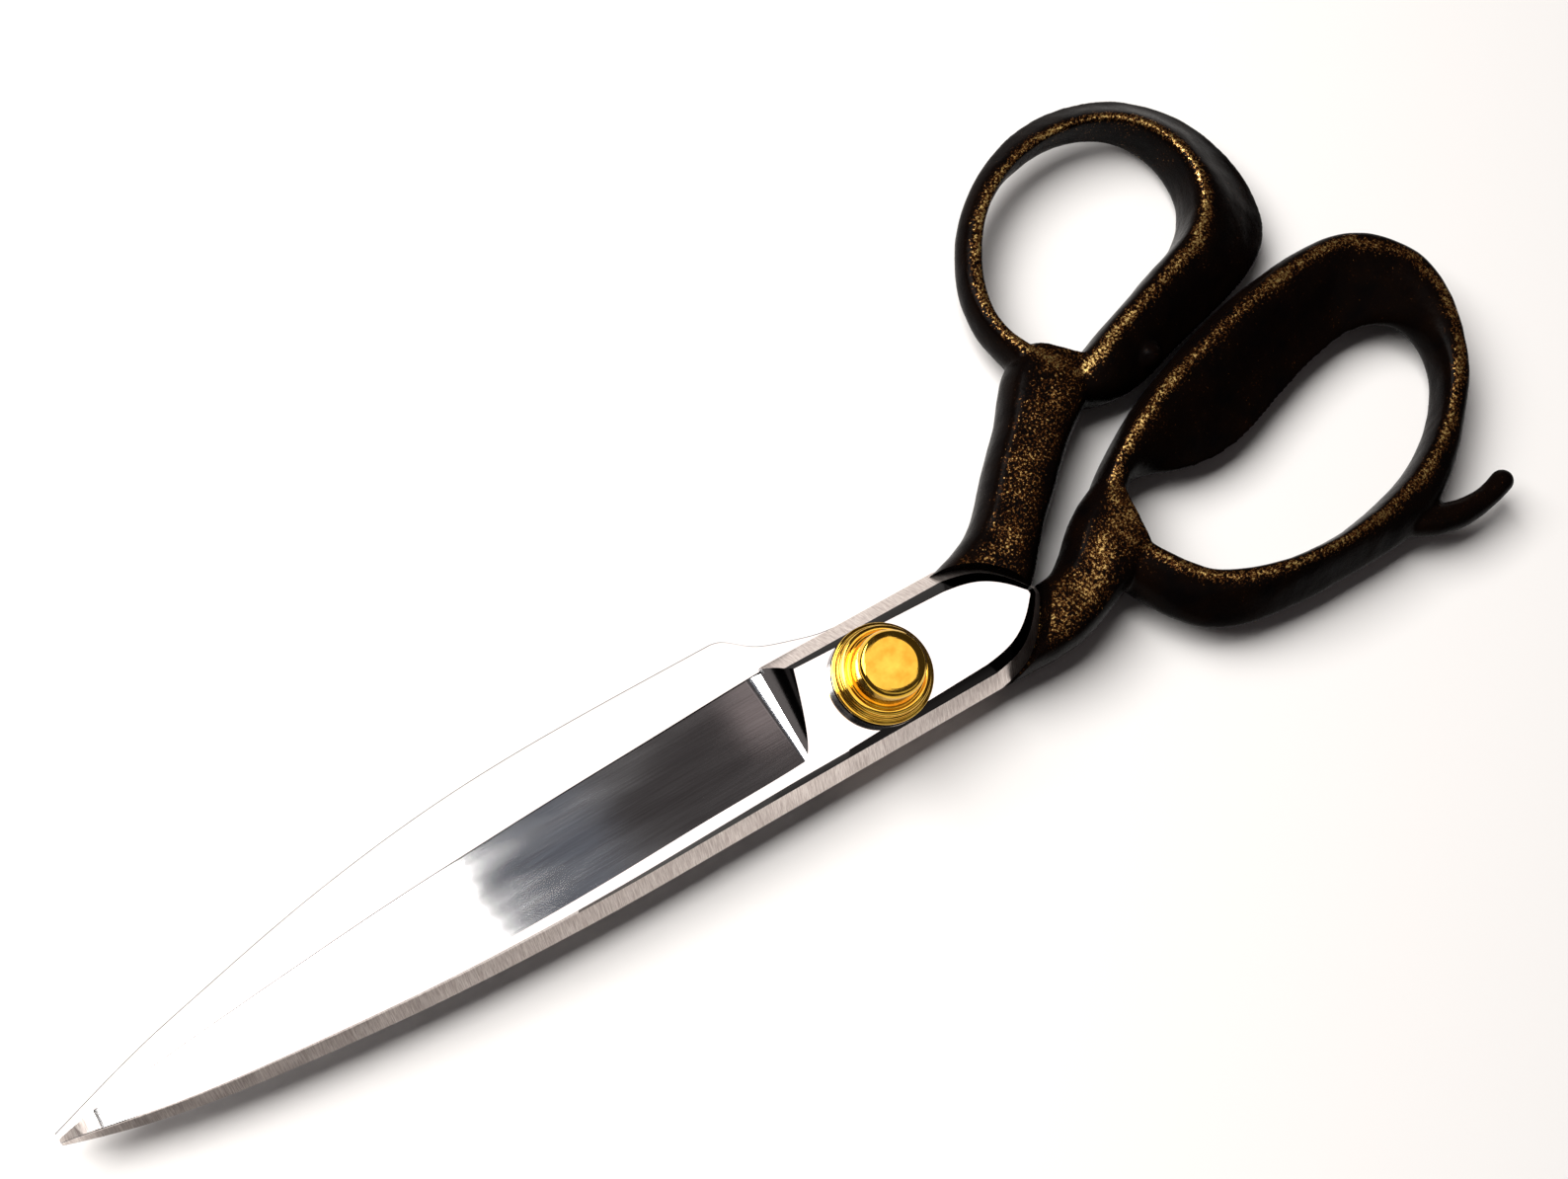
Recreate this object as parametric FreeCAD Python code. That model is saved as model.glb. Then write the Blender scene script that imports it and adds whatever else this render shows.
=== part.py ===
import FreeCAD, Part
import math
import os

# Bent-handle fabric shears, 254 mm long, closed and lying flat.
# Millimetres.  The origin is on the pivot axis in the plane that the shears
# rest on.  +X runs to the blade tips, +Z up through the tension nut, and +Y to
# the side of the large finger bow.

Vector = FreeCAD.Vector
Z_AXIS = Vector(0, 0, 1)

# ---------------------------------------------------------------- driving sizes
MEETING_Z = 6.6            # height of the plane in which the two blades meet
BLADE_GAP = 0.05           # running gap between the two blades
PLATE_THICKNESS = 5.0      # each blade's flat plate around the pivot
PLATE_HALF_WIDTH = 10.35
PLATE_FRONT_X = 13.9       # the plate ends here and the edge begins
PLATE_NOSE_X = -31.0       # point of the plate's pointed rear end
PLATE_NOSE_START_X = -17.5
NOSE_INSET = 0.8           # chamfers are this much narrower at the point
NOSE_SHAPE = [(0.0, 1.0), (0.45, 0.83), (0.8, 0.43), (1.0, 0.05)]   # share of length, of width
STRIP_WIDTH = 2.2          # cross-ground chamfer around the plate, in plan
STRIP_TOP = 3.4            # its upper edge above the meeting plane
SIDE_LAND = 0.5            # square side face below the chamfer
POLISHED_BEVEL = 0.85      # narrow bevel between chamfer and plate, in plan
REAR_WIDENING = 0.9        # that bevel is this much wider at the rear of the plate
NOSE_START_SHARE = 0.3     # share of a chamfer's width that its nose starts further on
BEVEL_FADE_X = 20.0        # beyond here the narrow bevel gets narrower
BEVEL_FADE_LENGTH = 60.0
BEVEL_LEAST_SHARE = 0.35

PLUNGE_X = 17.0            # where the wide bevel starts to rise into the plate
PLUNGE_EDGE_RADIUS = 8.0   # the plunge is ground as a cone, wider at the cutting edge
PLUNGE_RIDGE_RADIUS = 3.4
PLUNGE_LEAD = 8.0          # its cutter starts this far before the edge
PLUNGE_BITE = 0.03         # the plunge is ground this much below the bevel
EDGE_HEIGHT = 0.4          # height of the wide bevel at the cutting edge
EDGE_LEAN = 2.9            # the blank's edge side leans this much over its height
EDGE_LAND = 0.15           # square face below that leaning side
CUTTER_REACH = 30.0        # the bevel's cutter reaches this far past the edge
CUTTER_OVERRUN = 2.0       # past the blade's tip
CUTTER_HEIGHT = 12.0       # and this high above the meeting plane

SHANK_RADIUS = 3.55        # round part of the pivot bolt
PIVOT_CLEARANCE = 0.05
NECK_SIDE = 7.4            # square neck keyed into the back blade
NECK_DROP = 0.4            # the neck ends this far below the meeting plane
HEAD_RADIUS = 7.6
HEAD_HEIGHT = 1.6
HEAD_EDGE_RADIUS = 0.4
THREAD_RADIUS = 2.95
THREAD_TOP = 18.2
THREAD_END_GAP = 0.4       # left above the bolt's end inside the nut

WASHER_RADIUS = 7.9
WASHER_BOTTOM = 11.65
WASHER_TOP = 12.9
NUT_BOTTOM = 12.95
LOWER_FLANGE_RADIUS = 7.8
LOWER_FLANGE_TOP = 13.75
MIDDLE_STEP_RADIUS = 7.2
MIDDLE_STEP_TOP = 14.5
UPPER_FLANGE_RADIUS = 6.9
UPPER_FLANGE_TOP = 15.6
KNOB_BASE_RADIUS = 5.6
KNOB_TOP_RADIUS = 4.75
KNOB_TOP = 20.2
NUT_EDGE_RADIUS = 0.3
SPRING_RADIUS = 5.0
SPRING_TOP = 13.75
SPRING_THICKNESS = 0.45
SPRING_BORE_GAP = 0.25     # between the spring washer and the thread
SPRING_RECESS_RADIUS = 5.3
SPRING_RECESS_TOP = 13.85

TANG_BOTTOM = 0.8          # above the meeting plane
TANG_TOP = 4.3
TANG_ROOT_WIDTH = 7.6
TANG_END_WIDTH = 5.2
TANG_HOLE_RADIUS = 1.3
TANG_HOLE_SHARES = (0.62, 0.86)   # places of the two holes along the tang

CASTING_ARC_RADIUS = 16.8  # the cast handle ends on the plate in this arc
CASTING_ARC_CENTRE = (-14.0, 6.7)
LEVER_CLEARANCE = 0.4      # between one handle and the other blade's plate
CASTING_REACH = 9.0        # taller than any handle above the meeting plane
SECTION_POINTS = 24        # points round one handle section
SECTION_FULLNESS = 0.5     # how much fuller than an ellipse a level section is
THINNING = 0.6             # how far the taper thins the far side
SECTION_SKEW = 1.75        # how far the taper moves the crest to the thick side

# Blade sections: x, cutting edge y, ridge y, spine y, chamfer width, thickness
FRONT_SECTIONS = [
    (10.0, -10.0, 5.0, 10.35, 2.20, 5.00),
    (17.0, -9.8, 5.5, 10.35, 2.20, 5.00),
    (32.0, -9.1, 5.8, 10.35, 2.20, 4.70),
    (48.0, -8.4, 6.2, 10.30, 2.15, 4.30),
    (64.0, -7.5, 6.3, 9.80, 2.05, 3.85),
    (80.0, -6.4, 6.0, 8.85, 1.90, 3.35),
    (94.0, -5.1, 5.1, 7.50, 1.75, 2.85),
    (106.0, -3.9, 4.0, 6.05, 1.55, 2.40),
    (116.0, -2.8, 2.7, 4.35, 1.30, 1.95),
    (124.0, -1.8, 1.2, 2.40, 0.95, 1.50),
    (130.1, -0.6, 0.1, 0.50, 0.30, 0.95),
]
BACK_SECTIONS = [
    (18.6, -5.8, 12.2, 17.10, 2.20, 5.00),
    (32.0, -5.6, 12.6, 17.10, 2.20, 4.70),
    (48.0, -5.2, 12.8, 16.90, 2.15, 4.30),
    (64.0, -4.7, 12.1, 16.00, 2.05, 3.85),
    (80.0, -4.1, 10.5, 13.95, 1.90, 3.35),
    (94.0, -3.4, 8.3, 11.30, 1.75, 2.85),
    (106.0, -2.6, 6.0, 8.50, 1.55, 2.40),
    (116.0, -1.9, 4.1, 6.00, 1.30, 1.95),
    (124.0, -1.2, 2.0, 3.50, 0.95, 1.50),
    (130.3, -0.2, 0.8, 1.40, 0.30, 0.95),
]
# Spine of the back blade's heel, where the plate widens into the blade
BACK_HEEL = [(-2.0, 10.35), (3.0, 10.7), (7.0, 11.7), (10.4, 12.7), (13.0, 13.8), (14.8, 15.1),
             (16.2, 16.2), (17.4, 16.85), (18.6, 17.1)]

# Tangs, root and tip of the centre line
FRONT_TANG = [(-21.0, -0.3), (-40.5, -18.6)]
BACK_TANG = [(-21.0, 5.2), (-44.0, 0.8)]

# Handle sections, each on the upright plane from an inner point (the side of the
# finger hole) to an outer one: (inner x, y), (outer x, y), half height, taper.
# A positive taper thins the section towards the outside, a negative one inwards.
THUMB_SHANK = [
    ((-23.5, 3.0), (-9.0, -9.0), 5.75, 0.0),
    ((-30.6, -1.4), (-18.8, -10.4), 5.75, 0.0),
    ((-35.6, -6.6), (-26.8, -13.8), 5.7, 0.0),
    ((-42.5, -12.7), (-34.0, -20.6), 5.6, 0.0),
    ((-49.5, -18.6), (-40.7, -27.0), 5.5, 0.0),
    ((-56.4, -23.2), (-46.9, -33.4), 5.3, 0.0),
    ((-60.2, -27.2), (-51.6, -35.0), 4.4, 0.0),
]
THUMB_BOW = [
    ((-55.0, -28.5), (-47.6, -29.6), 4.4, 0.1),
    ((-52.0, -33.6), (-47.4, -34.0), 4.2, 0.1),
    ((-49.6, -39.4), (-46.2, -39.9), 3.7, 0.1),
    ((-51.0, -47.1), (-47.4, -48.6), 3.4, 0.1),
    ((-55.6, -54.6), (-52.7, -57.4), 3.4, 0.2),
    ((-62.0, -60.0), (-60.3, -63.6), 3.5, 0.3),
    ((-70.2, -62.8), (-70.2, -67.8), 3.8, 0.4),
    ((-79.4, -63.0), (-81.0, -68.2), 4.2, 0.45),
    ((-87.7, -59.4), (-91.4, -64.8), 4.8, 0.5),
    ((-91.6, -52.4), (-99.4, -57.0), 5.4, 0.5),
    ((-91.0, -45.2), (-103.1, -46.2), 6.0, 0.5),
    ((-86.6, -40.0), (-101.2, -34.6), 6.7, 0.45),
    ((-78.4, -36.6), (-89.6, -27.2), 6.8, 0.4),
    ((-69.9, -33.6), (-75.2, -23.5), 6.6, 0.4),
    ((-63.2, -31.4), (-66.4, -21.0), 6.2, 0.35),
    ((-59.4, -30.0), (-59.8, -20.6), 5.8, 0.2),
    ((-55.0, -28.4), (-53.6, -22.6), 4.8, 0.1),
]
FINGER_SHANK = [
    ((-12.0, -2.5), (-10.0, 9.6), 5.75, 0.0),
    ((-27.0, -1.2), (-22.5, 10.6), 5.75, 0.0),
    ((-34.8, -1.4), (-32.5, 10.4), 5.75, 0.0),
    ((-41.0, -6.0), (-39.8, 8.2), 5.8, 0.0),
    ((-46.6, -9.4), (-44.6, 6.6), 5.8, 0.0),
    ((-51.3, -11.2), (-49.8, 4.8), 5.5, 0.0),
]
FINGER_BOW = [
    ((-49.5, -3.0), (-46.5, -8.6), 4.6, 0.0),
    ((-55.2, -7.8), (-54.0, -13.6), 5.6, -0.2),
    ((-61.5, -6.2), (-62.2, -18.0), 6.2, -0.4),
    ((-70.5, -4.5), (-72.2, -21.9), 6.5, -0.5),
    ((-79.5, -5.6), (-83.4, -25.2), 6.8, -0.55),
    ((-88.6, -8.5), (-94.4, -27.2), 6.8, -0.55),
    ((-97.6, -11.2), (-104.2, -27.8), 6.5, -0.5),
    ((-106.0, -11.6), (-113.6, -25.6), 6.2, -0.4),
    ((-112.0, -8.6), (-120.8, -18.6), 5.6, -0.25),
    ((-114.2, -3.2), (-122.2, -9.4), 5.0, -0.1),
    ((-112.8, 1.8), (-119.2, 0.6), 4.4, 0.0),
    ((-108.9, 6.4), (-113.9, 8.3), 4.1, 0.1),
    ((-103.0, 10.6), (-107.6, 14.4), 4.3, 0.15),
    ((-95.4, 13.6), (-98.4, 20.6), 4.8, 0.25),
    ((-86.0, 15.5), (-87.4, 22.6), 5.8, 0.35),
    ((-75.0, 16.0), (-74.8, 22.6), 6.7, 0.4),
    ((-64.6, 14.2), (-62.2, 21.6), 6.6, 0.4),
    ((-56.6, 10.4), (-51.6, 17.6), 6.0, 0.35),
    ((-51.8, 4.4), (-45.4, 9.2), 5.6, 0.2),
    ((-48.6, -1.5), (-41.6, 0.5), 4.6, 0.1),
]
REST_ROUTE = [
    (-91.0, 18.6, 2.6),
    (-98.0, 22.0, 2.6),
    (-104.6, 23.2, 2.2),
    (-109.6, 22.7, 1.95),
    (-112.4, 22.0, 2.0),
]
CAST_BOSS = (-68.4, -24.2, 8.6, 2.4)   # x, y, z, radius of a boss on the thumb casting


# ---------------------------------------------------------------- small helpers
def cylinder(radius, low, high, x=0.0, y=0.0):
    return Part.makeCylinder(radius, high - low, Vector(x, y, low))


def turned_over(shape):
    """The same shape turned half a turn about the line where the blades meet."""
    turned = shape.copy()
    turned.rotate(Vector(0, 0, MEETING_Z), Vector(1, 0, 0), 180)
    return turned


def loft(wires, ruled=False):
    return Part.makeLoft(wires, True, ruled)


def shank_bore():
    """The running bore round the bolt's shank, through everything."""
    return cylinder(SHANK_RADIUS + PIVOT_CLEARANCE, 0, KNOB_TOP)


def polygon(points):
    return Part.makePolygon(points + [points[0]])


def save(name, shape):
    shape = shape.removeSplitter()
    if not shape.isValid():
        raise ValueError(name + " isn't a valid solid")
    shape.exportStep("parts/" + name + ".step")
    print(name, len(shape.Solids), "solid", round(shape.Volume, 1), "mm3")


# ---------------------------------------------------------------- blades
def plate_outline(inset, height, drawn_in=0.0):
    """One closed outline of the pivot plate at a height; drawn_in narrows its rear."""
    half = PLATE_HALF_WIDTH - inset
    rear_half = half - drawn_in
    nose = PLATE_NOSE_X + inset * NOSE_INSET + drawn_in
    start = PLATE_NOSE_START_X + inset * NOSE_START_SHARE + drawn_in
    z = MEETING_Z + height
    length = start - nose

    def nose_points(side):
        points = []
        for share, width in NOSE_SHAPE:
            points.append(Vector(start - share * length, side * rear_half * width, z))
        return points

    upper = Part.BSplineCurve()
    upper.interpolate(nose_points(1))
    lower = Part.BSplineCurve()
    lower.interpolate(list(reversed(nose_points(-1))))
    front_left = Vector(PLATE_FRONT_X, -half, z)
    front_right = Vector(PLATE_FRONT_X, half, z)
    edges = [
        Part.makeLine(front_right, nose_points(1)[0]),
        upper.toShape(),
        Part.makeLine(nose_points(1)[-1], nose_points(-1)[-1]),
        lower.toShape(),
        Part.makeLine(nose_points(-1)[0], front_left),
        Part.makeLine(front_left, front_right),
    ]
    return Part.Wire(edges)


def pivot_plate():
    bottom = BLADE_GAP / 2
    layers = [
        plate_outline(0.0, bottom),
        plate_outline(0.0, SIDE_LAND),
        plate_outline(STRIP_WIDTH, STRIP_TOP),
        plate_outline(STRIP_WIDTH + POLISHED_BEVEL, PLATE_THICKNESS, REAR_WIDENING),
    ]
    return loft(layers, ruled=True)


def narrow_bevel(x, scale):
    """Width in plan of the narrow polished bevel along the spine."""
    share = max(BEVEL_LEAST_SHARE, 1 - max(0.0, x - BEVEL_FADE_X) / BEVEL_FADE_LENGTH)
    return POLISHED_BEVEL * scale * share


def blank_section(row):
    """The blade before its wide bevel is ground: flat, with a chamfered spine."""
    x, edge, _, spine, strip, thickness = row
    scale = thickness / PLATE_THICKNESS
    z = MEETING_Z
    return polygon([
        Vector(x, edge, z + BLADE_GAP / 2),
        Vector(x, edge, z + EDGE_LAND),
        Vector(x, edge + EDGE_LEAN * scale, z + thickness),
        Vector(x, spine - strip - narrow_bevel(x, scale), z + thickness),
        Vector(x, spine - strip, z + STRIP_TOP * scale),
        Vector(x, spine, z + SIDE_LAND * scale),
        Vector(x, spine, z + BLADE_GAP / 2),
    ])


def heel_blank():
    """The back blade's heel, before the bevel is ground."""
    edge = BACK_SECTIONS[0][1]
    rows = [(x, edge, 0.0, spine, STRIP_WIDTH, PLATE_THICKNESS) for x, spine in BACK_HEEL]
    return loft([blank_section(row) for row in rows], ruled=True)


def bevel_line(row):
    """The two ends, as (y, z), of the wide bevel across one section."""
    edge, ridge, thickness = row[1], row[2], row[5]
    edge_z = MEETING_Z + EDGE_HEIGHT * thickness / PLATE_THICKNESS
    return (edge, edge_z), (ridge, MEETING_Z + thickness)


def bevel_cutter_section(row, x):
    low, high = bevel_line(row)
    slope = (high[1] - low[1]) / (high[0] - low[0])
    return polygon([
        Vector(x, -CUTTER_REACH, low[1] - slope * (CUTTER_REACH + low[0])),
        Vector(x, high[0], high[1]),
        Vector(x, high[0], MEETING_Z + CUTTER_HEIGHT),
        Vector(x, -CUTTER_REACH, MEETING_Z + CUTTER_HEIGHT),
    ])


def bevel_cutter(rows):
    """The wide bevel: a long wedge, ended by the round plunge at the heel."""
    ground = [row for row in rows if row[0] >= PLUNGE_X]
    wires = [bevel_cutter_section(ground[0], PLUNGE_X)]
    wires += [bevel_cutter_section(row, row[0]) for row in ground[1:]]
    wires.append(bevel_cutter_section(ground[-1], ground[-1][0] + CUTTER_OVERRUN))
    wedge = loft(wires)
    low, high = bevel_line(ground[0])
    angle = math.atan2(high[1] - low[1], high[0] - low[0])
    along = Vector(0, math.cos(angle), math.sin(angle))
    away = Vector(0, -math.sin(angle), math.cos(angle))
    length = math.hypot(high[0] - low[0], high[1] - low[1])
    circles = []
    for place in (-PLUNGE_LEAD, length):
        radius = PLUNGE_EDGE_RADIUS + (PLUNGE_RIDGE_RADIUS - PLUNGE_EDGE_RADIUS) * place / length
        foot = Vector(PLUNGE_X, low[0], low[1]) + along * place
        circle = Part.makeCircle(radius, foot + away * (radius - PLUNGE_BITE), along)
        circles.append(Part.Wire([circle]))
    return wedge, loft(circles, ruled=True)


def tang(ends):
    """The tongue behind the plate that the cast handle grips, with two holes."""
    root = Vector(ends[0][0], ends[0][1], 0)
    tip = Vector(ends[1][0], ends[1][1], 0)
    along = (tip - root).normalize()
    across = Vector(-along.y, along.x, 0)
    level = Vector(0, 0, MEETING_Z + TANG_BOTTOM)
    corners = [
        root + across * (TANG_ROOT_WIDTH / 2) + level,
        tip + across * (TANG_END_WIDTH / 2) + level,
        tip - across * (TANG_END_WIDTH / 2) + level,
        root - across * (TANG_ROOT_WIDTH / 2) + level,
    ]
    tongue = Part.Face(polygon(corners)).extrude(Z_AXIS * (TANG_TOP - TANG_BOTTOM))
    for share in TANG_HOLE_SHARES:
        spot = root + (tip - root) * share
        hole = cylinder(TANG_HOLE_RADIUS, MEETING_Z, MEETING_Z + TANG_TOP + 1, spot.x, spot.y)
        tongue = tongue.cut(hole)
    return tongue


def blade(rows, tang_ends, heel=None):
    body = pivot_plate().fuse(loft([blank_section(row) for row in rows]))
    if heel is not None:
        body = body.fuse(heel)
    wedge, plunge = bevel_cutter(rows)
    body = body.cut(wedge).cut(plunge)
    return body.fuse(tang(tang_ends))


# ---------------------------------------------------------------- handles
def handle_section(inner, outer, half_height, taper):
    """Points round a closed upright section from inner to outer, from its underside."""
    points = []
    for step in range(SECTION_POINTS):
        turn = 2 * math.pi * step / SECTION_POINTS - math.pi / 2
        across = 0.5 - 0.5 * math.cos(turn)
        skewed = turn + SECTION_SKEW * taper * math.sin(turn)
        full = SECTION_FULLNESS * (1 - abs(taper))
        rise = math.sin(skewed) * (1 + full * math.cos(skewed) ** 2)
        thin_side = across if taper > 0 else 1 - across
        thinning = 1 - THINNING * abs(taper) * thin_side
        x = inner[0] + (outer[0] - inner[0]) * across
        y = inner[1] + (outer[1] - inner[1]) * across
        points.append(Vector(x, y, MEETING_Z + half_height * rise * thinning))
    return points + [points[0]]


def handle_loft(rows):
    """A smooth skin through the sections, closed at both ends."""
    skin = Part.BSplineSurface()
    skin.interpolate([handle_section(*row) for row in rows])
    faces = [skin.toShape()]
    for end in skin.bounds()[:2]:
        faces.append(Part.Face(Part.Wire([skin.uIso(end).toShape()])))
    shell = Part.makeShell(faces)
    shell.sewShape()
    solid = Part.Solid(shell)
    if solid.Volume < 0:
        solid.reverse()
    return solid


def finger_rest():
    """The hook behind the large bow: a round, curved rod with a domed end."""
    wires = []
    for index, (x, y, radius) in enumerate(REST_ROUTE):
        before = REST_ROUTE[max(index - 1, 0)]
        after = REST_ROUTE[min(index + 1, len(REST_ROUTE) - 1)]
        centre = Vector(x, y, MEETING_Z)
        direction = Vector(after[0] - before[0], after[1] - before[1], 0)
        wires.append(Part.Wire([Part.makeCircle(radius, centre, direction)]))
    dome = Part.makeSphere(radius, centre, direction, 0, 90, 360)
    return loft(wires).fuse(dome)


def plate_clearance():
    """Room for the other lever's plate, on the upper side of the meeting plane."""
    lower = plate_outline(-LEVER_CLEARANCE, -BLADE_GAP)
    upper = plate_outline(-LEVER_CLEARANCE, CASTING_REACH)
    return loft([lower, upper], ruled=True)


def casting_end():
    """The plate's bare steel: the casting stops in an arc around it."""
    low = MEETING_Z - BLADE_GAP
    return cylinder(CASTING_ARC_RADIUS, low, MEETING_Z + CASTING_REACH, *CASTING_ARC_CENTRE)


# ---------------------------------------------------------------- pivot
def rounded_rims(shape, radius, rims):
    """The shape with a rounded edge at each rim, given as (radius, height)."""
    edges = []
    for edge in shape.Edges:
        if isinstance(edge.Curve, Part.Circle):
            for rim_radius, height in rims:
                same_size = abs(edge.Curve.Radius - rim_radius) < 0.01
                if same_size and abs(edge.Curve.Center.z - height) < 0.01:
                    edges.append(edge)
    return shape.makeFillet(radius, edges)


def pivot_bolt():
    head = cylinder(HEAD_RADIUS, 0.0, HEAD_HEIGHT)
    head = rounded_rims(head, HEAD_EDGE_RADIUS, [(HEAD_RADIUS, 0.0)])
    corner = Vector(-NECK_SIDE / 2, -NECK_SIDE / 2, HEAD_HEIGHT)
    neck = Part.makeBox(NECK_SIDE, NECK_SIDE, MEETING_Z - NECK_DROP - HEAD_HEIGHT, corner)
    shank = cylinder(SHANK_RADIUS, HEAD_HEIGHT, WASHER_TOP)
    thread = cylinder(THREAD_RADIUS, WASHER_TOP, THREAD_TOP)
    return head.fuse([neck, shank, thread])


def nut_washer():
    ring = cylinder(WASHER_RADIUS, WASHER_BOTTOM, WASHER_TOP)
    return ring.cut(shank_bore())


def spring_washer():
    """A shallow dished spring ring."""
    bore = THREAD_RADIUS + SPRING_BORE_GAP
    rise = SPRING_TOP - WASHER_TOP - SPRING_THICKNESS
    profile = polygon([
        Vector(SPRING_RADIUS, 0, WASHER_TOP),
        Vector(bore, 0, WASHER_TOP + rise),
        Vector(bore, 0, SPRING_TOP),
        Vector(SPRING_RADIUS, 0, WASHER_TOP + SPRING_THICKNESS),
    ])
    return Part.Face(profile).revolve(Vector(0, 0, 0), Z_AXIS, 360)


def tension_nut():
    """Three stepped flanges under a slightly conical knob, hollow from below."""
    lower = cylinder(LOWER_FLANGE_RADIUS, NUT_BOTTOM, LOWER_FLANGE_TOP)
    middle = cylinder(MIDDLE_STEP_RADIUS, NUT_BOTTOM, MIDDLE_STEP_TOP)
    upper = cylinder(UPPER_FLANGE_RADIUS, NUT_BOTTOM, UPPER_FLANGE_TOP)
    knob_base = Vector(0, 0, UPPER_FLANGE_TOP)
    knob_height = KNOB_TOP - UPPER_FLANGE_TOP
    knob = Part.makeCone(KNOB_BASE_RADIUS, KNOB_TOP_RADIUS, knob_height, knob_base)
    nut = lower.fuse([middle, upper, knob]).removeSplitter()
    nut = rounded_rims(nut, NUT_EDGE_RADIUS, [
        (LOWER_FLANGE_RADIUS, LOWER_FLANGE_TOP),
        (UPPER_FLANGE_RADIUS, UPPER_FLANGE_TOP),
        (KNOB_TOP_RADIUS, KNOB_TOP),
    ])
    thread_hole = cylinder(THREAD_RADIUS + PIVOT_CLEARANCE, 0, THREAD_TOP + THREAD_END_GAP)
    return nut.cut(thread_hole).cut(cylinder(SPRING_RECESS_RADIUS, 0, SPRING_RECESS_TOP))


# ---------------------------------------------------------------- the assembly
def main():
    os.makedirs("parts", exist_ok=True)

    front_blade = blade(FRONT_SECTIONS, FRONT_TANG)
    front_blade = front_blade.cut(shank_bore())

    back_tang = [(x, -y) for x, y in BACK_TANG]
    back_blade = turned_over(blade(BACK_SECTIONS, back_tang, heel_blank()))
    corner = Vector(-NECK_SIDE / 2, -NECK_SIDE / 2, 0)
    back_blade = back_blade.cut(Part.makeBox(NECK_SIDE, NECK_SIDE, WASHER_TOP, corner))

    thumb = handle_loft(THUMB_SHANK).fuse(handle_loft(THUMB_BOW))
    thumb = thumb.fuse(Part.makeSphere(CAST_BOSS[3], Vector(*CAST_BOSS[:3])))
    thumb = thumb.cut(casting_end()).cut(turned_over(plate_clearance())).cut(front_blade)

    finger = handle_loft(FINGER_SHANK).fuse([handle_loft(FINGER_BOW), finger_rest()])
    finger = finger.cut(turned_over(casting_end())).cut(plate_clearance()).cut(back_blade)

    save("front_blade", front_blade)
    save("back_blade", back_blade)
    save("thumb_handle", thumb)
    save("finger_handle", finger)
    save("pivot_bolt", pivot_bolt())
    save("nut_washer", nut_washer())
    save("spring_washer", spring_washer())
    save("tension_nut", tension_nut())


main()
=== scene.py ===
import math

import bmesh
import bpy
import numpy as np
from mathutils import Matrix, Vector, noise


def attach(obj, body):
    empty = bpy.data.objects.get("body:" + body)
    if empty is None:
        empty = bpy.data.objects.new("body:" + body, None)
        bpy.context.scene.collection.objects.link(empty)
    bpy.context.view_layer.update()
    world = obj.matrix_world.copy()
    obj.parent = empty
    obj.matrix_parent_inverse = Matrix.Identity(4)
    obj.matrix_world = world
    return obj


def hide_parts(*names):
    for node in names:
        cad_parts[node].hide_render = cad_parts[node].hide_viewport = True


# Bent-handle fabric shears.  Metres in Blender; the tables are in millimetres, in
# the CAD frame: +X to the blade tips, +Z up through the tension nut, the origin on
# the pivot axis in the plane that the shears rest on.

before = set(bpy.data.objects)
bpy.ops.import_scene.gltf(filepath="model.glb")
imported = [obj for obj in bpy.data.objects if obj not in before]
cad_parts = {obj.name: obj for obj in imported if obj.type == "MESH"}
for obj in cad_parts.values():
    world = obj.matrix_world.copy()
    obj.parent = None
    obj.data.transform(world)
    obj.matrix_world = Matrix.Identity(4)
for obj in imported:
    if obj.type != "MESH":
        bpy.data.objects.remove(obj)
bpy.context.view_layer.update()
MM = 0.001

MEETING_Z = 6.6
BLADE_GAP = 0.05
PLATE_THICKNESS = 5.0
PLATE_HALF_WIDTH = 10.35
PLATE_FRONT_X = 13.9
PLATE_NOSE_X = -31.0
NOSE_INSET = 0.8
NOSE_SHAPE = [(0.0, 1.0), (0.45, 0.83), (0.8, 0.43), (1.0, 0.05)]
PLATE_NOSE_START_X = -17.5
STRIP_WIDTH = 2.2
STRIP_TOP = 3.4
SIDE_LAND = 0.5
POLISHED_BEVEL = 0.85
REAR_WIDENING = 0.9
NOSE_START_SHARE = 0.3
BEVEL_FADE_X = 20.0
BEVEL_FADE_LENGTH = 60.0
BEVEL_LEAST_SHARE = 0.35
PLUNGE_X = 17.0
PLUNGE_EDGE_RADIUS = 8.0
PLUNGE_RIDGE_RADIUS = 3.4
PLUNGE_LEAD = 8.0
EDGE_HEIGHT = 0.4
EDGE_LEAN = 2.9
EDGE_LAND = 0.15
ARRIS = 0.12
HONED_WIDTH = 0.26
HONED_DROP = 0.26
SHANK_RADIUS = 3.6
CASTING_ARC_RADIUS = 16.8
CASTING_ARC_CENTRE = (-14.0, 6.7)
LEVER_CLEARANCE = 0.4
CASTING_REACH = 9.0
CAST_UNEVENNESS = 0.13
SHANK_WEAR_AND_HIGHLIGHT_WIDTH = 4.6
CREST_WEAR_AND_HIGHLIGHT_WIDTH = 1.35
SECTION_FULLNESS = 0.5
THINNING = 0.6
SECTION_SKEW = 1.75

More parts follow.
